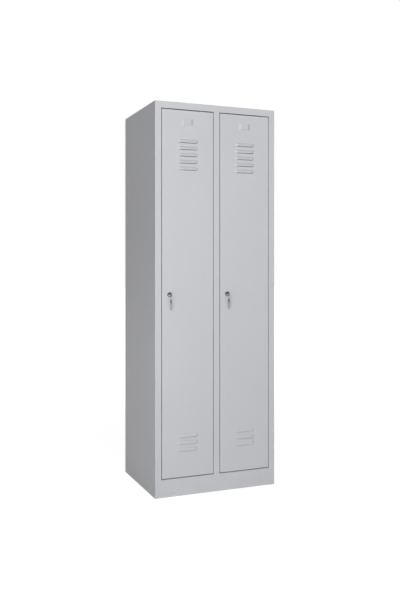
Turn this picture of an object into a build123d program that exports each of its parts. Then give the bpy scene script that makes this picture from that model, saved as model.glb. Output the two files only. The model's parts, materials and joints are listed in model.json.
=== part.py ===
from build123d import *
import os

# Two-compartment clothes locker in folded sheet steel, standing on a closed plinth.
# X runs across the front, Y from the doors towards the back, Z up from the floor.
# The origin is the centre of the footprint at floor level, the keys in the locks included.

# Overall carcass
locker_height = 1800.0
locker_width = 600.0
locker_depth = 500.0
sheet = 0.8
fold_radius = 1.6
overrun = 5.0

# Front frame
stile_width = 30.0
centre_stile_width = 30.0
top_rail_height = 31.0
plinth_height = 81.0
frame_depth = 24.0
stile_lip = 16.0
stop_lip = 12.0

# Back, roof, floor and partition
rear_flange = 15.0
foot_flange = 20.0
roof_flange = 15.0
floor_flange = 10.0
partition_flange = 15.0
partition_lead = 8.0
fixing_hole_radius = 4.25
fixing_hole_drop = 75.0

# Doors
door_side_gap = 2.5
door_end_gap = 4.0
door_depth = 20.0
door_return = 12.0
door_edge_radius = 1.4

# Ventilation louvres in the doors
louvre_length = 95.0
louvre_height = 15.0
louvre_reach = 7.0
louvre_ramp = 11.0
louvre_pitch = 31.15
upper_louvres = 5
lower_louvres = 3
upper_louvre_drop = 148.0
lower_louvre_rise = 120.5
pressing_radius = 5.0

# Card pocket pressed in the doors
card_width = 38.0
card_height = 34.0
card_drop = 56.0
pocket_width = 8.0
pocket_reach = 3.4
pocket_ramp = 4.0
ledge_length = 26.0
ledge_width = 5.0
ledge_reach = 2.2
ledge_ramp = 3.0
ledge_drop = 10.0

# Door stiffener
stiffener_crown = 30.0
stiffener_flange = 14.0
stiffener_depth = 13.0
stiffener_clearance = 12.0

# Hinges
hinge_height = 60.0
hinge_inset = 8.0
hinge_margin = 160.0
hinges_per_door = 3
leaf = 1.5
knuckle_radius = 4.0
knuckle_clearance = 0.3
knuckle_gap = 0.2
pin_radius = 2.5
pin_fit = 0.05
pin_head_radius = 3.6
pin_head = 1.2
pin_tail = 2.0
door_leaf_width = 28.0
frame_leaf_land = 12.0
notch_lead = 2.0
notch_clearance = 2.0

# Rubber buffers behind the door ends
buffer_radius = 3.0
buffer_inset = 24.0
buffer_clearance = 0.3

# Cam lock
lock_inset = 36.0
lock_height = 921.0
bezel_radius = 11.0
bezel = 4.5
bezel_chamfer = 1.5
housing_radius = 9.0
housing_flat = 7.8
housing_fit = 0.1
nut_across = 24.0
nut = 4.5
plug_radius = 6.5
plug_head_radius = 7.6
plug_head = 1.8
plug_fit = 0.06
cam_clearance = 1.0
cam_thickness = 2.5
cam_width = 15.0
cam_length = 46.0
cam_square = 8.0
cam_square_fit = 0.1
screw_head_radius = 5.5
screw_head = 3.0
screw_drive_radius = 1.8
screw_drive = 1.6

# Keys and ring
key_thickness = 2.0
key_blade_length = 26.0
key_blade_height = 7.4
key_neck = 2.0
key_bow = 21.0
key_bow_width = 19.0
key_hole_radius = 2.5
key_hole_inset = 5.0
key_fit = 0.1
key_cuts = 5
key_cut_width = 2.2
key_cut_depth = 1.7
ring_radius = 11.0
ring_wire_radius = 0.8
ring_wire_sides = 8
ring_seat = 0.25

# Shelf, clothes rail and sliding hooks
shelf_height = 1470.0
shelf_front_lip = 22.0
shelf_flange = 14.0
shelf_setback = 45.0
rail_drop = 62.0
rail_radius = 7.5
rail_wall = 1.2
socket_radius = 14.0
socket_flange = 1.5
socket_cup_radius = 9.8
socket_cup = 9.0
socket_fit = 0.2
hooks_per_rail = 2
hook_width = 9.0
hook_ring_radius = 11.0
hook_ring_fit = 0.8
hook_seat = 0.3
hook_wire = 5.0
hook_stem = 14.0
hook_crook_radius = 11.0

# Places that follow from the sizes above
key_out = bezel + key_neck + key_bow
key_reach = max(key_out, key_out - key_hole_inset + key_bow_width / 2)
front_y = (key_reach - locker_depth) / 2
back_y = front_y + locker_depth
half_width = locker_width / 2
inner_half_width = half_width - sheet
rear_panel_front = back_y - 2 * sheet
frame_back_y = front_y + frame_depth
lip_front_y = frame_back_y - sheet
opening_bottom = plinth_height
opening_top = locker_height - top_rail_height
opening_width = (locker_width - 2 * stile_width - centre_stile_width) / 2
opening_pitch = opening_width + centre_stile_width
door_width = opening_width - 2 * door_side_gap
door_bottom = opening_bottom + door_end_gap
door_top = opening_top - door_end_gap
door_inner_y = front_y + sheet
door_back_y = front_y + door_depth
shelf_width = inner_half_width - sheet / 2
hinge_x = door_width - hinge_inset
hinge_y = door_inner_y + knuckle_radius + knuckle_clearance
knuckle_height = hinge_height / 3
cam_front_y = frame_back_y + cam_clearance
cam_back_y = cam_front_y + cam_thickness
rail_z = shelf_height - rail_drop
rail_y = (front_y + back_y) / 2

# Left edges of the two doors, and the left walls of the two compartments
door_edges = {
    "left": -half_width + stile_width + door_side_gap,
    "right": -half_width + stile_width + opening_pitch + door_side_gap,
}
compartment_edges = {"left": -inner_half_width, "right": sheet / 2}

os.makedirs("parts", exist_ok=True)


def block(x0, x1, y0, y1, z0, z1):
    """Rectangular solid between two opposite corners."""
    middle = Pos((x0 + x1) / 2, (y0 + y1) / 2, (z0 + z1) / 2)
    return middle * Box(x1 - x0, y1 - y0, z1 - z0)


def rod(radius, x, y, z, length, direction):
    """Round bar that starts at a point and runs along a direction."""
    start = Plane(origin=(x, y, z), z_dir=direction)
    return extrude(start * Circle(radius), length, dir=direction)


def folded_section(corners, side, thickness):
    """Section of a sheet folded along the given corner points."""
    line = FilletPolyline(*corners, radius=fold_radius)
    return make_face(offset(line, amount=thickness, side=side))


def upright_fold(corners, side, bottom, top, thickness=sheet):
    """Folded sheet whose section is a plan, standing from bottom to top."""
    section = folded_section(corners, side, thickness)
    return Pos(0, 0, bottom) * extrude(section, top - bottom, dir=(0, 0, 1))


def cross_fold(corners, side, x0, x1):
    """Folded sheet whose section is drawn in Y and Z, running from x0 to x1."""
    section = Plane.YZ * folded_section(corners, side, sheet)
    return Pos(x0, 0, 0) * extrude(section, x1 - x0, dir=(1, 0, 0))


def save(name, *shapes):
    """Write one node, as one solid or as a group of separate solids."""
    solids = [solid for shape in shapes for solid in shape.solids()]
    shape = solids[0] if len(solids) == 1 else Compound(children=solids)
    export_step(shape, f"parts/{name}.step")


def side_panel(face):
    """Side wall with its rear flange and its front stile; face is -1 left, 1 right."""
    outer = face * half_width
    stile_edge = outer - face * stile_width
    wall = [
        (outer - face * rear_flange, back_y),
        (outer, back_y),
        (outer, front_y),
        (stile_edge, front_y),
    ]
    channel = [(stile_edge, frame_back_y), (stile_edge + face * stile_lip, frame_back_y)]
    inside = Side.LEFT if face < 0 else Side.RIGHT
    foot = upright_fold(wall, inside, 0, opening_bottom)
    door_zone = upright_fold(wall + channel, inside, opening_bottom, opening_top)
    head = upright_fold(wall, inside, opening_top, locker_height)
    return foot + door_zone + head


def centre_stile():
    """Lipped channel between the doors, with its lips against the partition."""
    edge = centre_stile_width / 2
    corners = [
        (-sheet / 2, frame_back_y),
        (-edge, frame_back_y),
        (-edge, front_y),
        (0, front_y),
    ]
    half = upright_fold(corners, Side.LEFT, opening_bottom, opening_top)
    return half + mirror(half, Plane.YZ)


def frame_rail(corners, side, plain_bottom, plain_top):
    """Rail across the front: folded over each opening, plain behind the centre stile."""
    outer_edge = half_width - stile_width
    inner_edge = centre_stile_width / 2
    left = cross_fold(corners, side, -outer_edge, -inner_edge)
    right = cross_fold(corners, side, inner_edge, outer_edge)
    plain = block(-inner_edge, inner_edge, front_y, door_inner_y, plain_bottom, plain_top)
    return left + plain + right


def top_rail():
    """Rail above the doors with its return and its stop lip."""
    corners = [
        (front_y, locker_height),
        (front_y, opening_top),
        (lip_front_y, opening_top),
        (lip_front_y, opening_top - stop_lip),
    ]
    return frame_rail(corners, Side.LEFT, opening_top, locker_height)


def plinth_rail():
    """Plinth front with its foot flange, its return under the doors and its stop lip."""
    corners = [
        (front_y, foot_flange),
        (front_y, opening_bottom),
        (lip_front_y, opening_bottom),
        (lip_front_y, opening_bottom + stop_lip),
    ]
    rail = frame_rail(corners, Side.RIGHT, foot_flange, opening_bottom)
    outer_edge = half_width - stile_width
    foot = [
        (front_y, foot_flange),
        (front_y, 0),
        (front_y + foot_flange, 0),
    ]
    return rail + cross_fold(foot, Side.LEFT, -outer_edge, outer_edge)


def rear_panel():
    """Back sheet held inside the side flanges, with a foot flange and wall-fixing holes."""
    back = back_y - sheet
    corners = [(back, locker_height), (back, 0), (back - foot_flange, 0)]
    edge = half_width - fold_radius
    panel = cross_fold(corners, Side.RIGHT, -edge, edge)
    for side in (-1, 1):
        hole_x = side * opening_pitch / 2
        hole_z = locker_height - fixing_hole_drop
        start = rear_panel_front - overrun
        length = sheet + 2 * overrun
        panel -= rod(fixing_hole_radius, hole_x, start, hole_z, length, (0, 1, 0))
    return panel


def roof_panel():
    """Roof sheet with flanges turned down inside the walls."""
    top = locker_height
    bottom = top - roof_flange
    left, right = -inner_half_width, inner_half_width
    pan = block(left, right, door_inner_y, rear_panel_front, bottom, top)
    pan = fillet(pan.edges().filter_by(Axis.Z), fold_radius)
    return pan - block(
        left + sheet,
        right - sheet,
        door_inner_y + sheet,
        rear_panel_front - sheet,
        bottom - overrun,
        top - sheet,
    )


def floor_panel():
    """Floor tray with flanges turned up at the sides and back, open to the front."""
    left, right = -inner_half_width, inner_half_width
    under = opening_bottom - sheet
    rim = opening_bottom + floor_flange
    tray = block(left, right, frame_back_y, rear_panel_front, under, rim)
    return tray - block(
        left + sheet,
        right - sheet,
        frame_back_y - overrun,
        rear_panel_front - sheet,
        opening_bottom,
        rim + overrun,
    )


def centre_partition():
    """Wall between the compartments, with a flange along the back."""
    back = rear_panel_front - sheet
    corners = [
        (-sheet / 2, front_y + partition_lead),
        (-sheet / 2, back),
        (partition_flange, back),
    ]
    return upright_fold(corners, Side.RIGHT, opening_bottom, locker_height - sheet)


def hat_shelf(left):
    """Shelf tray turned down on four sides, welded between wall and partition."""
    right = left + shelf_width
    front = front_y + shelf_setback
    back = rear_panel_front - sheet - fold_radius
    top = shelf_height
    tray = block(left, right, front, back, top - shelf_front_lip, top)
    tray -= block(
        left + sheet,
        right - sheet,
        front + sheet,
        back - sheet,
        top - shelf_front_lip - overrun,
        top - sheet,
    )
    under_flanges = top - shelf_flange
    return tray - block(
        left - overrun,
        right + overrun,
        front + sheet,
        back + overrun,
        top - shelf_front_lip - overrun,
        under_flanges,
    )


def clothes_rail(left):
    """Tube across the compartment, seated in its two sockets."""
    start = left + socket_flange
    length = shelf_width - 2 * socket_flange
    tube = rod(rail_radius, start, rail_y, rail_z, length, (1, 0, 0))
    return tube - rod(rail_radius - rail_wall, start, rail_y, rail_z, length, (1, 0, 0))


def rail_sockets(left):
    """Flanged cups that carry the clothes rail, one at each end."""
    cups = []
    for wall, direction in ((left, 1), (left + shelf_width, -1)):
        along = (direction, 0, 0)
        cup = rod(socket_radius, wall, rail_y, rail_z, socket_flange, along)
        cup += rod(socket_cup_radius, wall, rail_y, rail_z, socket_cup, along)
        mouth = wall + direction * socket_flange
        bore = rail_radius + socket_fit
        cups.append(cup - rod(bore, mouth, rail_y, rail_z, socket_cup, along))
    return cups


def sliding_hook(centre_x):
    """Twin coat hook with a closed eye that slides along the rail."""
    inner = rail_radius + hook_ring_fit
    eye_z = rail_z + rail_radius + hook_seat - inner
    stem_bottom = eye_z - hook_ring_radius - hook_stem
    half_wire = hook_wire / 2
    outline = Pos(rail_y, eye_z) * Circle(hook_ring_radius)
    stem_middle = (eye_z + stem_bottom) / 2
    outline += Pos(rail_y, stem_middle) * Rectangle(hook_wire, eye_z - stem_bottom)
    for side in (-1, 1):
        crook = Pos(rail_y + side * hook_crook_radius, stem_bottom)
        ring = Circle(hook_crook_radius + half_wire) - Circle(hook_crook_radius - half_wire)
        tall = hook_crook_radius + hook_wire
        upper = Pos(0, tall / 2) * Rectangle(2 * tall, tall)
        outline += crook * (ring - upper)
        tip = Pos(rail_y + side * 2 * hook_crook_radius, stem_bottom)
        outline += tip * Circle(half_wire)
    outline -= Pos(rail_y, eye_z) * Circle(inner)
    hook = extrude(Plane.YZ * outline, hook_width, dir=(1, 0, 0))
    return Pos(centre_x - hook_width / 2, 0, 0) * hook


def hood(length, height, reach, ramp):
    """Pressed louvre and the space under it: slit along X at Z 0, standing out to -Y."""
    big = (reach ** 2 + height ** 2) / (2 * reach)
    land = length / 2 - ramp
    far = length / 2 + ramp
    plan = Polyline((-far, reach), (-land, -reach), (land, -reach), (far, reach), close=True)
    front = make_face(plan).vertices().group_by(Axis.Y)[0]
    outline = fillet(front, pressing_radius)

    def bulge(radius, ends):
        rise = (radius ** 2 - (big - reach) ** 2) ** 0.5
        out = radius - (big - reach)
        angle = Vector(big - reach, rise).get_angle(Vector(1, 0))
        arc = CenterArc((reach - big, 0), radius, 0, angle)
        face = make_face([arc, Line((0, rise), (0, 0)), Line((0, 0), (out, 0))])
        turned = Plane(origin=(0, 0, 0), x_dir=(0, -1, 0), z_dir=(-1, 0, 0)) * face
        bar = Pos(-length / 2, 0, 0) * extrude(turned, length, dir=(1, 0, 0))
        return bar & extrude(ends, height, dir=(0, 0, 1)), rise

    outside, top = bulge(big, outline)
    inside, top = bulge(big - sheet, offset(outline, amount=-sheet))
    slot = block(-land, land, -sheet, sheet + overrun, 0, top)
    return outside, inside + slot


def pressed(panel, length, height, reach, ramp, place):
    """Door sheet with one louvre pressed out of it at a place."""
    outside, inside = hood(length, height, reach, ramp)
    return panel + place * outside - place * inside


def door_panel():
    """Door pan with its edges folded back and in, its louvres, card pocket and notches."""
    pan = block(0, door_width, front_y, door_back_y, door_bottom, door_top)
    pan = fillet(pan.faces().sort_by(Axis.Y)[0].edges(), door_edge_radius)
    pan -= block(
        sheet,
        door_width - sheet,
        door_inner_y,
        door_back_y - sheet,
        door_bottom + sheet,
        door_top - sheet,
    )
    pan -= block(
        door_return,
        door_width - door_return,
        door_back_y - 2 * sheet,
        door_back_y + overrun,
        door_bottom + door_return,
        door_top - door_return,
    )
    middle = door_width / 2
    upper = [door_top - upper_louvre_drop - step * louvre_pitch for step in range(upper_louvres)]
    lower = [door_bottom + lower_louvre_rise + step * louvre_pitch for step in range(lower_louvres)]
    for slit in upper + lower:
        place = Pos(middle, front_y, slit)
        pan = pressed(pan, louvre_length, louvre_height, louvre_reach, louvre_ramp, place)
    card_z = door_top - card_drop
    for side in (-1, 1):
        place = Pos(middle + side * card_width / 2, front_y, card_z) * Rot(0, side * 90, 0)
        pan = pressed(pan, card_height, pocket_width, pocket_reach, pocket_ramp, place)
    ledge = Pos(middle, front_y, card_z - ledge_drop) * Rot(0, 180, 0)
    pan = pressed(pan, ledge_length, ledge_width, ledge_reach, ledge_ramp, ledge)
    lock_hole = housing_radius + housing_fit
    start = front_y - overrun
    through = sheet + 2 * overrun
    pan -= rod(lock_hole, lock_inset, start, lock_height, through, (0, 1, 0))
    for bottom in hinge_bottoms():
        pan -= block(
            door_width - door_return - overrun,
            door_width + overrun,
            hinge_y - notch_lead,
            door_back_y + overrun,
            bottom - notch_clearance,
            bottom + hinge_height + notch_clearance,
        )
    return pan


def door_stiffener():
    """Hat channel inside the door, between the two groups of louvres."""
    middle = door_width / 2
    base = door_inner_y + sheet
    crown = base + stiffener_depth
    reach = stiffener_crown / 2
    corners = [
        (middle - reach - stiffener_flange, base),
        (middle - reach, base),
        (middle - reach, crown),
        (middle + reach, crown),
        (middle + reach, base),
        (middle + reach + stiffener_flange, base),
    ]
    lowest_vent = door_bottom + lower_louvre_rise + (lower_louvres - 1) * louvre_pitch
    bottom = lowest_vent + louvre_height + stiffener_clearance
    highest_vent = door_top - upper_louvre_drop - (upper_louvres - 1) * louvre_pitch
    return upright_fold(corners, Side.RIGHT, bottom, highest_vent - stiffener_clearance)


def hinge_bottoms():
    """Lower ends of the hinges, evenly spaced between the end margins."""
    lowest = door_bottom + hinge_margin
    highest = door_top - hinge_margin - hinge_height
    step = (highest - lowest) / (hinges_per_door - 1)
    return [lowest + step * index for index in range(hinges_per_door)]


def knuckle(bottom, height, radius):
    """Round part of a hinge at the hinge axis."""
    return rod(radius, hinge_x, hinge_y, bottom, height, (0, 0, 1))


def frame_leaf(bottom):
    """Cranked leaf on the back of the stile, with the outer knuckles."""
    land_end = door_width + door_side_gap + frame_leaf_land
    back = frame_back_y + leaf
    corners = [
        (hinge_x - knuckle_radius, hinge_y),
        (hinge_x - knuckle_radius, back),
        (land_end, back),
    ]
    top = bottom + hinge_height
    shape = upright_fold(corners, Side.RIGHT, bottom, top, leaf)
    shape += knuckle(bottom, hinge_height, knuckle_radius)
    room = knuckle_radius + 2 * knuckle_clearance
    shape -= block(
        hinge_x - room,
        hinge_x + room,
        hinge_y - room,
        hinge_y + room,
        bottom + knuckle_height,
        top - knuckle_height,
    )
    return shape - knuckle(bottom - overrun, hinge_height + 2 * overrun, pin_radius + pin_fit)


def door_leaf(bottom):
    """Flat leaf on the inside of the door sheet, with the middle knuckle."""
    top = bottom + hinge_height
    low = bottom + knuckle_height + knuckle_gap
    high = top - knuckle_height - knuckle_gap
    shape = block(
        hinge_x - door_leaf_width,
        hinge_x,
        door_inner_y,
        door_inner_y + leaf,
        bottom,
        top,
    )
    room = knuckle_radius + 2 * knuckle_clearance
    for start, end in ((bottom - overrun, low), (high, top + overrun)):
        shape -= block(
            hinge_x - room,
            hinge_x + room,
            hinge_y - room,
            hinge_y + room,
            start,
            end,
        )
    shape += knuckle(low, high - low, knuckle_radius)
    return shape - knuckle(bottom - overrun, hinge_height + 2 * overrun, pin_radius + pin_fit)


def hinge_pin(bottom):
    """Headed pin dropped through the knuckles."""
    top = bottom + hinge_height
    pin = knuckle(bottom - pin_tail, hinge_height + pin_tail, pin_radius)
    return pin + knuckle(top, pin_head, pin_head_radius)


def door_buffers():
    """Rubber buffers on the stop lips, two above and two below."""
    thickness = lip_front_y - door_back_y - buffer_clearance
    above = (door_top + opening_top - stop_lip) / 2
    below = (door_bottom + opening_bottom + stop_lip) / 2
    pads = []
    for z in (above, below):
        for x in (buffer_inset, door_width / 2 + buffer_inset):
            pads.append(rod(buffer_radius, x, lip_front_y, z, thickness, (0, -1, 0)))
    return pads


def along_lock(radius, start, end):
    """Round bar on the lock axis between two depths."""
    return rod(radius, lock_inset, start, lock_height, end - start, (0, 1, 0))


def lock_housing():
    """Lock body with its bezel, two flats and the bore for the plug."""
    bezel_front = front_y - bezel
    rim = along_lock(bezel_radius, bezel_front, front_y)
    rim = chamfer(rim.edges().sort_by(Axis.Y)[0], bezel_chamfer)
    barrel = along_lock(housing_radius, front_y, cam_front_y)
    barrel &= block(
        lock_inset - housing_flat,
        lock_inset + housing_flat,
        front_y - overrun,
        cam_front_y + overrun,
        lock_height - housing_radius,
        lock_height + housing_radius,
    )
    body = rim + barrel
    body -= along_lock(plug_radius + plug_fit, bezel_front - overrun, cam_front_y + overrun)
    return body - along_lock(plug_head_radius + plug_fit, bezel_front - overrun, bezel_front + plug_head)


def lock_nut():
    """Hexagon nut that clamps the door sheet against the bezel."""
    face = Plane(origin=(lock_inset, door_inner_y, lock_height), z_dir=(0, 1, 0))
    hexagon = face * RegularPolygon(nut_across / 2, 6, major_radius=False)
    body = extrude(hexagon, nut, dir=(0, 1, 0))
    return body - along_lock(housing_radius + housing_fit, front_y, door_inner_y + nut + overrun)


def lock_plug():
    """Turning plug with its head, its upright keyway and its square tail."""
    bezel_front = front_y - bezel
    body = along_lock(plug_head_radius, bezel_front, bezel_front + plug_head)
    body += along_lock(plug_radius, bezel_front, cam_front_y)
    half_square = cam_square / 2
    body += block(
        lock_inset - half_square,
        lock_inset + half_square,
        cam_front_y,
        cam_back_y,
        lock_height - half_square,
        lock_height + half_square,
    )
    half_slot = key_thickness / 2 + key_fit
    half_tall = key_blade_height / 2 + key_fit
    return body - block(
        lock_inset - half_slot,
        lock_inset + half_slot,
        bezel_front - overrun,
        bezel_front + key_blade_length + key_fit,
        lock_height - half_tall,
        lock_height + half_tall,
    )


def lock_cam():
    """Cam tongue, upright when the door is free to open."""
    half_width_cam = cam_width / 2
    face = Plane(origin=(lock_inset, cam_front_y, lock_height), x_dir=(1, 0, 0), z_dir=(0, -1, 0))
    straight = cam_length - half_width_cam
    outline = Circle(half_width_cam) + Pos(0, straight / 2) * Rectangle(cam_width, straight)
    outline += Pos(0, straight) * Circle(half_width_cam)
    square = cam_square + 2 * cam_square_fit
    outline -= Rectangle(square, square)
    return extrude(face * outline, cam_thickness, dir=(0, 1, 0))


def cam_screw():
    """Screw that holds the cam on the plug, with a hexagon recess."""
    head = along_lock(screw_head_radius, cam_back_y, cam_back_y + screw_head)
    recess = Plane(
        origin=(lock_inset, cam_back_y + screw_head - screw_drive, lock_height),
        z_dir=(0, 1, 0),
    ) * RegularPolygon(screw_drive_radius, 6)
    return head - extrude(recess, screw_drive + overrun, dir=(0, 1, 0))


def flat_key():
    """Key pointing to +X from the bow's outer end at the origin, cut along one edge."""
    bow_radius = key_bow_width / 2
    bow_straight = key_bow - key_bow_width
    half_blade = key_blade_height / 2
    neck_start = key_bow
    tip = key_bow + key_neck + key_blade_length
    outline = Pos(bow_radius, 0) * Circle(bow_radius)
    outline += Pos(bow_radius + bow_straight / 2, 0) * Rectangle(bow_straight, key_bow_width)
    outline += Pos(neck_start - bow_radius, 0) * Circle(bow_radius)
    blade = Polyline(
        (bow_radius, -half_blade),
        (tip - half_blade, -half_blade),
        (tip, 0),
        (tip - half_blade, half_blade),
        (bow_radius, half_blade),
        close=True,
    )
    outline += make_face(blade)
    outline -= Pos(key_hole_inset, 0) * Circle(key_hole_radius)
    first = key_bow + 2 * key_neck + key_cut_width
    pitch = (tip - half_blade - first) / key_cuts
    for index in range(key_cuts):
        at = first + pitch * (index + 1 / 2)
        depth = key_cut_depth / (1 + index % 2)
        notch = make_face(
            Polyline(
                (at - key_cut_width, -half_blade),
                (at, -half_blade + depth),
                (at + key_cut_width, -half_blade),
                close=True,
            )
        )
        outline -= notch
    body = extrude(outline, key_thickness, dir=(0, 0, 1))
    return Pos(0, 0, -key_thickness / 2) * body


def lock_key():
    """Key in the lock, its blade upright in the keyway."""
    upright = Plane(
        origin=(lock_inset, front_y - key_out, lock_height),
        x_dir=(0, 1, 0),
        z_dir=(1, 0, 0),
    )
    return upright * flat_key()


ring_y = front_y - key_out + key_hole_inset
ring_top = lock_height - key_hole_radius + ring_wire_radius + ring_seat
ring_bottom = ring_top - 2 * ring_radius


def key_ring():
    """Wire ring that hangs in the hole of the key's bow."""
    centre = Plane(origin=(lock_inset, ring_y, ring_top - ring_radius), z_dir=(0, 1, 0))
    wire = Pos(ring_radius, 0) * RegularPolygon(ring_wire_radius, ring_wire_sides)
    return centre * revolve(Plane.XZ * wire, Axis.Z)


def spare_key():
    """Second key, hanging blade down from the ring."""
    hole_z = ring_bottom - key_hole_radius + ring_wire_radius + ring_seat
    hanging = Plane(
        origin=(lock_inset, ring_y, hole_z + key_hole_inset),
        x_dir=(0, 0, -1),
        z_dir=(1, 0, 0),
    )
    return hanging * flat_key()


# Carcass
save("left_side_panel", side_panel(-1))
save("right_side_panel", side_panel(1))
save("centre_stile", centre_stile())
save("top_rail", top_rail())
save("plinth_rail", plinth_rail())
save("rear_panel", rear_panel())
save("roof_panel", roof_panel())
save("floor_panel", floor_panel())
save("centre_partition", centre_partition())

# Fittings inside the two compartments
for side, left in compartment_edges.items():
    save(f"{side}_hat_shelf", hat_shelf(left))
    save(f"{side}_clothes_rail", clothes_rail(left))
    save(f"{side}_rail_sockets", *rail_sockets(left))
    for index in range(hooks_per_rail):
        share = (index + 1) / (hooks_per_rail + 1)
        save(f"{side}_coat_hook_{index + 1}", sliding_hook(left + share * shelf_width))

# Doors with their hinges, locks and keys, drawn from the door's left edge
hinge_names = ["lower", "middle", "upper"]
for side, edge in door_edges.items():
    place = Pos(edge, 0, 0)
    save(f"{side}_door_panel", place * door_panel())
    save(f"{side}_door_stiffener", place * door_stiffener())
    for name, bottom in zip(hinge_names, hinge_bottoms()):
        save(f"{side}_{name}_frame_leaf", place * frame_leaf(bottom))
        save(f"{side}_{name}_door_leaf", place * door_leaf(bottom))
    save(f"{side}_hinge_pins", *[place * hinge_pin(bottom) for bottom in hinge_bottoms()])
    save(f"{side}_door_buffers", *[place * pad for pad in door_buffers()])
    save(f"{side}_lock_housing", place * lock_housing())
    save(f"{side}_lock_nut", place * lock_nut())
    save(f"{side}_lock_plug", place * lock_plug())
    save(f"{side}_lock_cam", place * lock_cam())
    save(f"{side}_cam_screw", place * cam_screw())
    save(f"{side}_lock_key", place * lock_key())
    save(f"{side}_key_ring", place * key_ring())
    save(f"{side}_spare_key", place * spare_key())
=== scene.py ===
import json
import math

import bpy
from mathutils import Matrix, Vector


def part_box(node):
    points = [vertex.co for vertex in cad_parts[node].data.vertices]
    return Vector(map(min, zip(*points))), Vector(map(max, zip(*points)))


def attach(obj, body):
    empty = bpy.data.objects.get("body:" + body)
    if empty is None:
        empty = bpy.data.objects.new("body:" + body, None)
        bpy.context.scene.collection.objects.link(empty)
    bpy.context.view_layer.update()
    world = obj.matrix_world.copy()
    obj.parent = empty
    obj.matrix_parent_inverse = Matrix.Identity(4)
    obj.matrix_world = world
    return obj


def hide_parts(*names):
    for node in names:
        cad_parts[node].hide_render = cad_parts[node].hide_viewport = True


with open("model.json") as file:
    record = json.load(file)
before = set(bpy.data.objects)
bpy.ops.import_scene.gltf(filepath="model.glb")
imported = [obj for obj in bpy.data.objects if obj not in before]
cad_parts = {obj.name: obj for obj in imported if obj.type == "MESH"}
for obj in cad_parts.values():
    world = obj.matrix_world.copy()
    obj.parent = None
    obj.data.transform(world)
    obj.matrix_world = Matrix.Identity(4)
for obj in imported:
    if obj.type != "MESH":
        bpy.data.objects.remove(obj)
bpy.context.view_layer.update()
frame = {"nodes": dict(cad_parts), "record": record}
nodes = frame["nodes"]

MM = 0.001
SIDES = ("left", "right")
LEVELS = ("lower", "middle", "upper")
QUARTER = math.radians(90.0)
WHITE = (1.0, 1.0, 1.0, 1.0)

# Sizes shared with the solids
SHEET = 0.8 * MM
LEAF = 1.5 * MM
HOUSING_FLAT = 7.8 * MM
HOUSING_RADIUS = 9.0 * MM
RING_RADIUS = 11.0 * MM
SOCKET_SCREW_OUT = 11.9 * MM
SOCKET_FLANGE = 1.5 * MM
LOCK_HEIGHT = 921.0 * MM

# Limits of the mesh work
MERGE_WITHIN = 0.002 * MM
SMOOTH_UNDER = math.radians(35.0)


# Shader sums

class Value:
    """A socket that takes part in sums: each operator adds its Math node."""

    def __init__(self, finish, socket):
        self.finish = finish
        self.socket = socket

    def math(self, operation, *terms, clamp=False):
        settings = {"operation": operation, "use_clamp": clamp}
        return self.finish.node("ShaderNodeMath", settings, dict(enumerate(terms)))

    def __add__(self, other):
        return self.math("ADD", self, other)

    __radd__ = __add__

    def __mul__(self, other):
        return self.math("MULTIPLY", self, other)

    __rmul__ = __mul__

    def __sub__(self, other):
        return self.math("SUBTRACT", self, other)

    def __rsub__(self, other):
        return self.math("SUBTRACT", other, self)

    def step(self, low, high):
        """0 below low, 1 above high and smooth between; high may be the lower one."""
        sockets = {"Value": self, "From Min": low, "From Max": high, "To Min": 0.0, "To Max": 1.0}
        settings = {"interpolation_type": "SMOOTHSTEP"}
        return self.finish.node("ShaderNodeMapRange", settings, sockets)

    def band(self, middle, half, soft):
        """1 within half of the middle, falling to 0 over a soft width."""
        above = self.step(middle - half - soft, middle - half)
        below = self.step(middle + half + soft, middle + half)
        return above * below


class Finish:
    """The nodes of one material, or of the world."""

    def __init__(self, owner):
        self.owner = owner
        owner.use_nodes = True
        self.tree = owner.node_tree
        self.tree.nodes.clear()

    def node(self, kind, settings=None, sockets=None, output=0):
        """Add a node: its settings first, then the values or links of its sockets."""
        node = self.tree.nodes.new(kind)
        for key, value in (settings or {}).items():
            setattr(node, key, value)
        for key, value in (sockets or {}).items():
            if isinstance(value, Value):
                self.tree.links.new(value.socket, node.inputs[key])
            elif value is not None:
                node.inputs[key].default_value = value
        return Value(self, node.outputs[output])

    def place(self):
        return self.node("ShaderNodeTexCoord", output="Object")

    def axis(self, letter):
        return self.node("ShaderNodeSeparateXYZ", None, {0: self.place()}, letter)

    def noise(self, scale, detail=2.0, stretch=(1.0, 1.0, 1.0)):
        """Soft noise over the object, with the scale in lumps per metre."""
        place = self.node("ShaderNodeMapping", None, {"Vector": self.place(), "Scale": stretch})
        sockets = {"Vector": place, "Scale": scale, "Detail": detail}
        return self.node("ShaderNodeTexNoise", None, sockets, "Fac")

    def blend(self, share, first, second):
        """Colour between two colours, which a Mix node takes at 6 and 7 and gives at 2."""
        ends = [end if isinstance(end, Value) else (*end, 1.0) for end in (first, second)]
        sockets = {0: share, 6: ends[0], 7: ends[1]}
        return self.node("ShaderNodeMix", {"data_type": "RGBA"}, sockets, 2)

    def bump(self, height, distance, under=None):
        """Bump of a height map that rises by the distance, over another bump if there is one."""
        sockets = {"Height": height, "Distance": distance, "Normal": under}
        return self.node("ShaderNodeBump", None, sockets)

    def metal(self, colour, rough, normal):
        sockets = {"Base Color": colour, "Metallic": 1.0, "Roughness": rough, "Normal": normal}
        return self.surface(sockets)

    def plain(self, colour, rough, normal):
        """Plastic, rubber or paint."""
        return self.surface({"Base Color": colour, "Roughness": rough, "Normal": normal})

    def surface(self, sockets):
        """Show a principled shader and hand back the material."""
        shader = self.node("ShaderNodeBsdfPrincipled", None, sockets, "BSDF")
        return self.show(shader, "ShaderNodeOutputMaterial")

    def show(self, shader, kind):
        """Link a shader to the output and hand back the material or world."""
        shown = self.tree.nodes.new(kind)
        self.tree.links.new(shader.socket, shown.inputs["Surface"])
        return self.owner


def new_finish(name):
    return Finish(bpy.data.materials.new(name))


# Finishes

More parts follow.
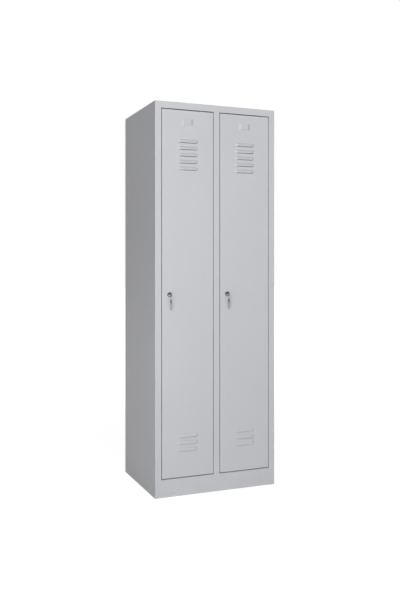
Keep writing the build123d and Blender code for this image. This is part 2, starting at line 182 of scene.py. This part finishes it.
def powder_coat():
    """Light grey powder coat: fine orange peel, faint tone drift and dust near the floor."""
    coat = new_finish("light_grey_powder_coat")
    drift = coat.noise(1.7, 3.0).step(0.3, 0.7)
    grain = coat.noise(1400.0, 1.0).step(0.3, 0.7)
    low_down = coat.axis("Z").step(110 * MM, 0.0)
    dusty = low_down * coat.noise(38.0, 4.0, (1.0, 1.0, 2.5)).step(0.45, 0.75)
    strokes = coat.noise(16.0, 3.0, (14.0, 14.0, 1.0)).step(0.66, 0.78)
    wear_and_highlight = strokes * coat.noise(5.0, 2.0).step(0.5, 0.7)
    tone = coat.blend(drift, (0.550, 0.565, 0.594), (0.570, 0.585, 0.611))
    tone = coat.blend(grain * 0.10, tone, (0.47, 0.475, 0.49))
    tone = coat.blend(dusty * 0.16, tone, (0.36, 0.35, 0.33))
    peel = coat.noise(520.0, 2.0)
    ripple = coat.noise(90.0, 1.0)
    normal = coat.bump(peel + ripple * 0.6, 0.12 * MM)
    rough = 0.36 + drift * 0.05 + grain * 0.04 + dusty * 0.20 + wear_and_highlight * 0.10
    sockets = {"Base Color": tone, "Roughness": rough, "Normal": normal, "Specular IOR Level": 0.35}
    return coat.surface(sockets)


def lock_chrome():
    """Dark chrome plate with fine wiping marks."""
    plate = new_finish("dark_chrome_plate")
    wipe = plate.noise(900.0, 3.0, (1.0, 1.0, 0.08)).step(0.35, 0.7)
    smear = plate.noise(160.0, 2.0).step(0.35, 0.7)
    tone = plate.blend(smear, (0.10, 0.10, 0.105), (0.17, 0.168, 0.165))
    rough = 0.13 + wipe * 0.07 + smear * 0.08
    return plate.metal(tone, rough, plate.bump(wipe, 0.004 * MM))


def rubbed_plug():
    """Dark plug face with a painted highlight: it is painted bright below its middle."""
    plate = new_finish("plug_face_painted_highlight")
    wipe = plate.noise(1300.0, 3.0).step(0.35, 0.7)
    smear = plate.noise(420.0, 2.0).step(0.35, 0.7)
    # Painted highlight: the plug face turns bright below its middle, whatever the light.
    wear_and_highlight = plate.axis("Z").step(LOCK_HEIGHT + 0.8 * MM, LOCK_HEIGHT - 1.6 * MM)
    dark = plate.blend(smear, (0.11, 0.11, 0.112), (0.19, 0.188, 0.185))
    bright = plate.blend(wipe, (0.74, 0.735, 0.72), (0.90, 0.89, 0.87))
    rough = 0.20 + wipe * 0.10 + smear * 0.06
    return plate.metal(plate.blend(wear_and_highlight, dark, bright), rough, plate.bump(wipe, 0.004 * MM))


def zinc_plate():
    """Zinc-plated steel with a soft cloudy bloom."""
    plate = new_finish("zinc_plate")
    cloud = plate.noise(240.0, 3.0).step(0.35, 0.68)
    speck = plate.noise(2600.0, 1.0).step(0.4, 0.7)
    tone = plate.blend(cloud, (0.50, 0.51, 0.53), (0.62, 0.62, 0.61))
    rough = 0.28 + cloud * 0.14 + speck * 0.05
    return plate.metal(tone, rough, plate.bump(speck, 0.01 * MM))


def drawn_steel():
    """Bright drawn steel, its grain along X as on a drawn tube."""
    steel = new_finish("drawn_steel")
    grain = steel.noise(1500.0, 3.0, (0.02, 1.0, 1.0)).step(0.3, 0.7)
    cloud = steel.noise(30.0, 2.0).step(0.35, 0.7)
    tone = steel.blend(cloud, (0.60, 0.60, 0.61), (0.68, 0.68, 0.68))
    rough = 0.20 + grain * 0.12 + cloud * 0.05
    return steel.metal(tone, rough, steel.bump(grain, 0.006 * MM))


def ring_nickel():
    """Nickel-plated spring wire with dull worn patches."""
    wire = new_finish("nickel_spring_wire")
    wear_and_highlight = wire.noise(300.0, 2.0).step(0.4, 0.6)
    grain = wire.noise(2400.0, 2.0).step(0.35, 0.7)
    tone = wire.blend(wear_and_highlight, (0.34, 0.34, 0.335), (0.46, 0.455, 0.44))
    rough = 0.18 + wear_and_highlight * 0.14 + grain * 0.06
    return wire.metal(tone, rough, wire.bump(grain, 0.006 * MM))


def key_metal(name, along, bow_end, blade_end, across, middle):
    """Nickel-plated key: dull and slightly warm where the bow is handled, the blade grooved, with
    painted shade in the groove.
    """
    key = new_finish(name)
    bow = key.axis(along).step(blade_end, bow_end)
    patch = key.noise(420.0, 3.0).step(0.3, 0.62)
    mill = key.noise(1900.0, 2.0, (1.0, 1.0, 0.15)).step(0.35, 0.7)
    groove = key.axis(across).band(middle, 0.55 * MM, 0.25 * MM) * (1.0 - bow)
    handled = key.blend(patch, (0.205, 0.198, 0.19), (0.275, 0.262, 0.245))
    kept = key.blend(mill, (0.17, 0.188, 0.192), (0.25, 0.27, 0.272))
    # Painted shade: the blade's groove is darkened in colour.
    kept = key.blend(groove * 0.5, kept, (0.08, 0.08, 0.08))
    rough = 0.26 + mill * 0.12 + patch * 0.08
    normal = key.bump(mill, 0.008 * MM, key.bump(1.0 - groove, 0.35 * MM))
    return key.metal(key.blend(bow, kept, handled), rough, normal)


def moulded_plastic():
    """Black moulded plastic with a fine spark-eroded grain."""
    plastic = new_finish("black_moulded_plastic")
    grain = plastic.noise(2200.0, 2.0)
    cloud = plastic.noise(60.0, 2.0).step(0.35, 0.7)
    tone = plastic.blend(cloud, (0.012, 0.012, 0.013), (0.022, 0.022, 0.023))
    rough = 0.34 + cloud * 0.08 + grain * 0.08
    return plastic.plain(tone, rough, plastic.bump(grain, 0.03 * MM))


def matt_rubber():
    """Matt black rubber with a dusty bloom."""
    rubber = new_finish("black_rubber")
    bloom = rubber.noise(500.0, 3.0).step(0.35, 0.75)
    tone = rubber.blend(bloom, (0.014, 0.014, 0.014), (0.045, 0.045, 0.044))
    rough = 0.72 + bloom * 0.15
    return rubber.plain(tone, rough, rubber.bump(bloom, 0.04 * MM))


def dress(piece, material):
    """Give a piece this one material."""
    piece.data.materials.clear()
    piece.data.materials.append(material)


def dress_keys(side):
    """The keys' own metal: the lock key lies along Y and the spare key hangs along Z."""
    bow, neck = 16 * MM, 24 * MM
    low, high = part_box(f"{side}_lock_key")
    middle = (low.z + high.z) / 2
    metal = key_metal(f"{side}_lock_key_metal", "Y", low.y + bow, low.y + neck, "Z", middle)
    dress(nodes[f"{side}_lock_key"], metal)
    low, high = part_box(f"{side}_spare_key")
    middle = (low.y + high.y) / 2
    metal = key_metal(f"{side}_spare_key_metal", "Z", high.z - bow, high.z - neck, "Y", middle)
    dress(nodes[f"{side}_spare_key"], metal)


finishes = {
    "grey_powder_coat": powder_coat(),
    "lock_chrome": lock_chrome(),
    "rubbed_plug": rubbed_plug(),
    "ring_nickel": ring_nickel(),
    "zinc_steel": zinc_plate(),
    "bright_steel": drawn_steel(),
    "hook_plastic": moulded_plastic(),
    "buffer_rubber": matt_rubber(),
}
slots = {part["node"]: part["material_slot"] for part in frame["record"]["subparts"]}
for name, slot in slots.items():
    if slot in finishes:
        dress(nodes[name], finishes[slot])

for side in SIDES:
    dress_keys(side)
    dress(nodes[f"{side}_key_ring"], finishes["ring_nickel"])
    dress(nodes[f"{side}_lock_plug"], finishes["rubbed_plug"])


# Making pieces

def start_piece():
    """Leave nothing selected before the next primitive."""
    bpy.ops.object.select_all(action="DESELECT")


def take_up(piece):
    """Select one piece alone and make it the active one."""
    start_piece()
    piece.select_set(True)
    bpy.context.view_layer.objects.active = piece


def settle(name):
    """Name the active piece and put its place, turn and scale into its mesh."""
    piece = bpy.context.object
    piece.name = name
    piece.data.name = name
    bpy.ops.object.transform_apply(location=True, rotation=True, scale=True)
    return piece


def select_front(piece):
    """Go into edit mode with only the faces that look along +Y selected."""
    bpy.ops.object.mode_set(mode="EDIT")
    bpy.ops.mesh.select_mode(type="FACE")
    bpy.ops.mesh.select_all(action="DESELECT")
    bpy.ops.object.mode_set(mode="OBJECT")
    for face in piece.data.polygons:
        face.select = face.normal.y > 0.9
    bpy.ops.object.mode_set(mode="EDIT")


def close_and_turn_out():
    """Close the open ends and turn every face outwards."""
    bpy.ops.object.mode_set(mode="EDIT")
    bpy.ops.mesh.select_all(action="SELECT")
    bpy.ops.mesh.remove_doubles(threshold=MERGE_WITHIN)
    bpy.ops.mesh.fill_holes(sides=0)
    bpy.ops.mesh.normals_make_consistent(inside=False)
    bpy.ops.object.mode_set(mode="OBJECT")


def copy_to(pattern, name, places):
    """Copies of a finished pattern at each place, joined into one piece."""
    start_piece()
    for place in places:
        copy = pattern.copy()
        copy.data = pattern.data.copy()
        copy.data.transform(place)
        bpy.context.collection.objects.link(copy)
        copy.select_set(True)
        bpy.context.view_layer.objects.active = copy
    bpy.ops.object.join()
    return settle(name)


def finish_piece(piece, body, material):
    """Shade a finished piece, dress it and seat it on its body."""
    take_up(piece)
    bpy.ops.object.shade_smooth_by_angle(angle=SMOOTH_UNDER)
    dress(piece, material)
    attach(piece, body)


def wound_wire(name, sides, half_out, half_along, radius, pitch, turns, turn, steps):
    """Wire wound about Y: a flat or pointed section carried round, with closed ends.

    The section has its half widths outwards and along Y, and turn is the angle of one turn."""
    start_piece()
    bpy.ops.mesh.primitive_circle_add(vertices=sides, radius=1.0, rotation=(0.0, 0.0, -QUARTER))
    bpy.ops.object.transform_apply(location=False, rotation=True, scale=False)
    wire = bpy.context.object
    wire.scale = (half_out, half_along, 1.0)
    wire.location = (radius, 0.0, 0.0)
    wire = settle(name)
    winding = wire.modifiers.new("winding", "SCREW")
    winding.axis = "Y"
    winding.angle = turn
    winding.screw_offset = pitch
    winding.iterations = turns
    winding.steps = steps
    winding.render_steps = steps
    bpy.ops.object.modifier_apply(modifier="winding")
    close_and_turn_out()
    return wire


def move_mesh(piece, place):
    """Move a piece's mesh and leave its origin where it is."""
    piece.data.transform(Matrix.Translation(place))


def cut_flat(piece, x, outward):
    """Cut a piece off flat at an X, and close the cut."""
    take_up(piece)
    bpy.ops.object.mode_set(mode="EDIT")
    bpy.ops.mesh.select_all(action="SELECT")
    bpy.ops.mesh.bisect(
        plane_co=(x, 0.0, 0.0),
        plane_no=(outward, 0.0, 0.0),
        use_fill=True,
        clear_outer=True,
    )
    bpy.ops.object.mode_set(mode="OBJECT")
    close_and_turn_out()


# Pieces of the locks and keys

def split_ring(side):
    """Split ring of flattened wire, two turns close together, in place of the plain ring."""
    low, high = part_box(f"{side}_key_ring")
    middle = (low + high) / 2
    pitch = 0.53 * MM
    ring = wound_wire(
        f"{side}_split_ring",
        sides=10,
        half_out=0.70 * MM,
        half_along=0.27 * MM,
        radius=RING_RADIUS,
        pitch=pitch,
        turns=2,
        turn=math.radians(348.0),
        steps=56,
    )
    move_mesh(ring, (middle.x, middle.y - pitch, middle.z))
    finish_piece(ring, f"{side}_ring", finishes["ring_nickel"])
    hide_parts(f"{side}_key_ring")


def housing_thread(side):
    """Thread on the lock housing between its nut and its cam, cut off by the two flats."""
    end_clearance = 0.6 * MM
    sunk = 0.12 * MM
    pitch = 1.0 * MM
    low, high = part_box(f"{side}_lock_housing")
    axis = (low + high) / 2
    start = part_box(f"{side}_lock_nut")[1].y + end_clearance
    end = high.y - end_clearance
    thread = wound_wire(
        f"{side}_housing_thread",
        sides=3,
        half_out=0.36 * MM,
        half_along=0.44 * MM,
        radius=HOUSING_RADIUS - sunk,
        pitch=pitch,
        turns=int((end - start) / pitch),
        turn=4 * QUARTER,
        steps=32,
    )
    move_mesh(thread, (axis.x, start, axis.z))
    for outward in (-1.0, 1.0):
        cut_flat(thread, axis.x + outward * HOUSING_FLAT, outward)
    finish_piece(thread, f"{side}_door", finishes["lock_chrome"])


# Small fasteners and weld marks

def round_blank(name, sides, radius, bottom, top):
    """Short cylinder about Y from one Y to another."""
    start_piece()
    bpy.ops.mesh.primitive_cylinder_add(
        vertices=sides,
        radius=radius,
        depth=top - bottom,
        location=(0.0, (bottom + top) / 2, 0.0),
        rotation=(-QUARTER, 0.0, 0.0),
    )
    return settle(name)


def pan_head():
    """Small pan-head screw with a cross recess, facing +Y, its seat at Y 0."""
    radius = 1.9 * MM
    sunk = 0.4 * MM
    height = 1.1 * MM
    rounding = 0.75 * MM
    slot_size = (2.1 * MM, 1.3 * MM, 0.5 * MM)
    top = (0.0, height, 0.0)
    head = round_blank("pan_head", 24, radius, -sunk, height)
    select_front(head)
    bpy.ops.mesh.bevel(offset=rounding, segments=4, affect="EDGES")
    bpy.ops.object.mode_set(mode="OBJECT")
    for turn in (0.0, QUARTER):
        start_piece()
        bpy.ops.mesh.primitive_cube_add(size=1.0, location=top, rotation=(0.0, turn, 0.0))
        tool = bpy.context.object
        tool.scale = slot_size
        bpy.ops.object.transform_apply(location=True, rotation=True, scale=True)
        recess = head.modifiers.new("recess", "BOOLEAN")
        recess.operation = "DIFFERENCE"
        recess.object = tool
        bpy.context.view_layer.objects.active = head
        bpy.ops.object.modifier_apply(modifier="recess")
        bpy.data.objects.remove(tool)
    return head


def weld_mark():
    """Spot-weld mark under paint, facing +Y: a low rim round a shallow dish."""
    radius = 2.9 * MM
    sunk = 0.28 * MM
    proud = 0.02 * MM
    insets = (0.45 * MM, 0.45 * MM, 0.5 * MM, 0.7 * MM)
    rises = (0.12 * MM, -0.02 * MM, -0.08 * MM, 0.03 * MM)
    mark = round_blank("weld_mark", 20, radius, -sunk, proud)
    select_front(mark)
    for inset, rise in zip(insets, rises):
        bpy.ops.mesh.inset(thickness=inset)
        bpy.ops.transform.translate(value=(0.0, rise, 0.0))
    bpy.ops.object.mode_set(mode="OBJECT")
    return mark


def evenly(low, high, margin, count):
    """Heights spread evenly, the first and last a margin in from the ends."""
    run = high - low - 2 * margin
    return [low + margin + run * row / (count - 1) for row in range(count)]


def socket_screws(side, head):
    """Two screws in each flange of the clothes rail sockets, their slots not in line."""
    low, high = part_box(f"{side}_rail_sockets")
    middle = (low + high) / 2
    drives = (math.radians(-15.0), math.radians(55.0))
    places = []
    for x, turn in ((low.x + SOCKET_FLANGE, -QUARTER), (high.x - SOCKET_FLANGE, QUARTER)):
        for up, drive in zip((-1, 1), drives):
            seat = Matrix.Translation((x, middle.y, middle.z + up * SOCKET_SCREW_OUT))
            facing = Matrix.Rotation(turn, 4, "Z")
            places.append(seat @ facing @ Matrix.Rotation(drive, 4, "Y"))
    screws = copy_to(head, f"{side}_socket_screws", places)
    finish_piece(screws, "carcass", finishes["zinc_steel"])


def door_weld_marks(side, mark):
    """Spot welds that hold the stiffener and the hinge leaves to the door sheet."""
    low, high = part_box(f"{side}_door_stiffener")
    middle = (low.x + high.x) / 2
    flange_out = 22.5 * MM
    leaf_in = 9 * MM
    end_in = 28 * MM
    rows = 13
    leaf_shares = (0.17, 0.5, 0.83)
    places = []
    for x in (middle - flange_out, middle + flange_out):
        for z in evenly(low.z, high.z, end_in, rows):
            places.append(Matrix.Translation((x, low.y + SHEET, z)))
    for level in LEVELS:
        low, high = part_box(f"{side}_{level}_door_leaf")
        for share in leaf_shares:
            z = low.z + (high.z - low.z) * share
            places.append(Matrix.Translation((low.x + leaf_in, low.y + LEAF, z)))
    marks = copy_to(mark, f"{side}_door_weld_marks", places)
    finish_piece(marks, f"{side}_door", finishes["grey_powder_coat"])


def rear_weld_marks(mark):
    """Spot welds down the rear flanges, where the back sheet is held."""
    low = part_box("left_side_panel")[0]
    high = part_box("right_side_panel")[1]
    edge_in = 8 * MM
    end_in = 60 * MM
    rows = 14
    places = []
    for x in (low.x + edge_in, high.x - edge_in):
        for z in evenly(low.z, high.z, end_in, rows):
            places.append(Matrix.Translation((x, high.y, z)))
    marks = copy_to(mark, "rear_weld_marks", places)
    finish_piece(marks, "carcass", finishes["grey_powder_coat"])


head = pan_head()
mark = weld_mark()
for side in SIDES:
    split_ring(side)
    housing_thread(side)
    socket_screws(side, head)
    door_weld_marks(side, mark)
rear_weld_marks(mark)
bpy.data.objects.remove(head)
bpy.data.objects.remove(mark)


# Camera, floor and lights

LAMP_AIM = Vector((0.0, 0.0, 0.9))


def add_lamp(name, place, size, energy):
    """Rectangular lamp aimed at the middle of the locker."""
    data = bpy.data.lights.new(name, "AREA")
    data.shape = "RECTANGLE"
    data.size, data.size_y = size
    data.energy = energy
    lamp = bpy.data.objects.new(name, data)
    lamp.location = place
    aim = LAMP_AIM - Vector(place)
    lamp.rotation_euler = aim.to_track_quat("-Z", "Y").to_euler()
    bpy.context.scene.collection.objects.link(lamp)


def seen_rays(finish):
    """1 for camera, mirror and see-through rays, which take the background as white."""
    camera_ray = finish.node("ShaderNodeLightPath", output="Is Camera Ray")
    glossy = finish.node("ShaderNodeLightPath", output="Is Glossy Ray")
    through = finish.node("ShaderNodeLightPath", output="Is Transmission Ray")
    seen = camera_ray.math("ADD", camera_ray, glossy, clamp=True)
    return seen.math("ADD", seen, through, clamp=True)


# The camera is fitted to the six corners of the carcass that the photograph shows.
camera_data = bpy.data.cameras.new("camera")
camera_data.sensor_width = 36.0
camera_data.lens = 46.1
camera_data.shift_x = -0.0533
camera_data.shift_y = -0.0582
camera_data.clip_end = 100.0
camera = bpy.data.objects.new("camera", camera_data)
camera.location = (-1.3569, -3.5543, 1.0556)
camera.rotation_euler = (QUARTER, 0.0, math.radians(-23.37))
bpy.context.scene.collection.objects.link(camera)
bpy.context.scene.camera = camera

# The floor is white where it is seen, and lets a little of the shadow near the locker through.
FLOOR_SIZE = 60.0
FLOOR_DROP = 0.4 * MM
SHADOW_SHARE = 0.16
SHADOW_NEAR, SHADOW_FAR = 1.2, 3.0
start_piece()
bpy.ops.mesh.primitive_plane_add(size=FLOOR_SIZE, location=(0.0, 0.0, -FLOOR_DROP))
floor = bpy.context.object
floor.name = "floor"
ground = new_finish("pale_floor")
far = ground.node("ShaderNodeVectorMath", {"operation": "LENGTH"}, {0: ground.place()}, "Value")
plain = ground.node("ShaderNodeBsdfDiffuse", None, {"Color": (0.82, 0.78, 0.77, 1.0)})
white = ground.node("ShaderNodeEmission", None, {"Color": WHITE, "Strength": 1.14})
clear = 1.0 - SHADOW_SHARE + far.step(SHADOW_NEAR, SHADOW_FAR) * SHADOW_SHARE
sockets = {0: seen_rays(ground) * clear, 1: plain, 2: white}
ground.show(ground.node("ShaderNodeMixShader", None, sockets), "ShaderNodeOutputMaterial")
floor.data.materials.append(ground.owner)

studio = Finish(bpy.data.worlds.new("studio"))
dim_sockets = {"Color": (0.97, 0.98, 1.0, 1.0), "Strength": 0.005}
dim = studio.node("ShaderNodeBackground", None, dim_sockets)
white = studio.node("ShaderNodeBackground", None, {"Color": WHITE, "Strength": 1.0})
sockets = {0: seen_rays(studio), 1: dim, 2: white}
studio.show(studio.node("ShaderNodeMixShader", None, sockets), "ShaderNodeOutputWorld")
bpy.context.scene.world = studio.owner

add_lamp("key", (-2.55, -3.62, 2.4), (0.6, 0.6), 58.0)
add_lamp("high_front", (-0.45, -5.5, 3.6), (1.2, 1.2), 146.0)
add_lamp("low_front", (0.3, -4.5, 0.4), (2.0, 0.6), 23.0)
add_lamp("near_left", (-1.25, -1.0, 0.2), (0.3, 0.3), 1.8)
add_lamp("rear_fill", (3.2, 4.5, 1.1), (2.0, 1.2), 150.0)
add_lamp("over_roof", (0.0, 0.0, 2.6), (0.4, 0.4), 3.5)

bpy.context.scene.view_settings.view_transform = "Standard"
